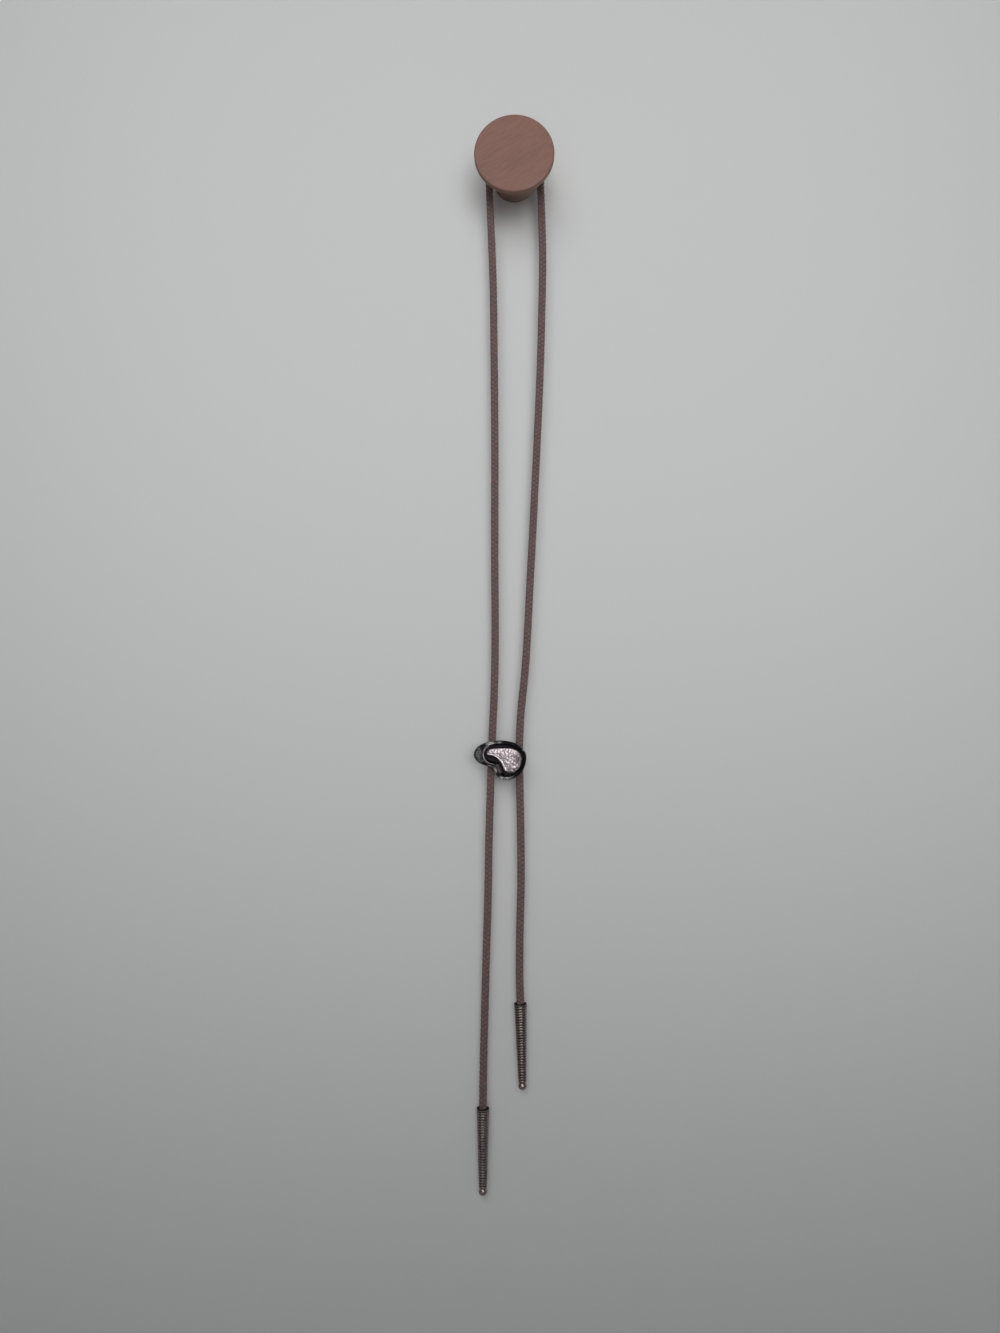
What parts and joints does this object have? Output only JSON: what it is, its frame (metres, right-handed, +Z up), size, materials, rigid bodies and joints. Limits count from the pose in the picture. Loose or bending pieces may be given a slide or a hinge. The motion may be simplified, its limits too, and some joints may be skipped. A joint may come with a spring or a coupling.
{
  "type": "bolo tie on a wooden wall knob",
  "caption": "Bolo tie of braided cord with a comma-shaped silver slide and ringed, ball-ended tips, hung by its loop over a turned wooden wall knob.",
  "frame": {"origin": "centre of the knob's flat round back, where it sits on the wall", "axes": "+Z up, +Y into the wall, +X to the right as the tie is looked at from the front"},
  "size_m": [0.039, 0.027, 0.5151],
  "materials": {
    "knob_wood": "oiled close-grained hardwood",
    "braided_leather": "braided strands, soft satin",
    "oxidised_silver": "cast, blackened, worn brighter along the rim",
    "bright_silver": "fine hammered, satin with a polished edge",
    "clip_metal": "satin sheet metal",
    "tip_silver": "antique silver, dark in the grooves, polished ball"
  },
  "bodies": {
    "root": {"wall_knob": "knob_wood", "cord": "braided_leather", "slide_dish": "oxidised_silver", "slide_inlay": "bright_silver", "slide_clip": "clip_metal", "tip_left": "tip_silver", "tip_right": "tip_silver"}
  },
  "joints": []
}
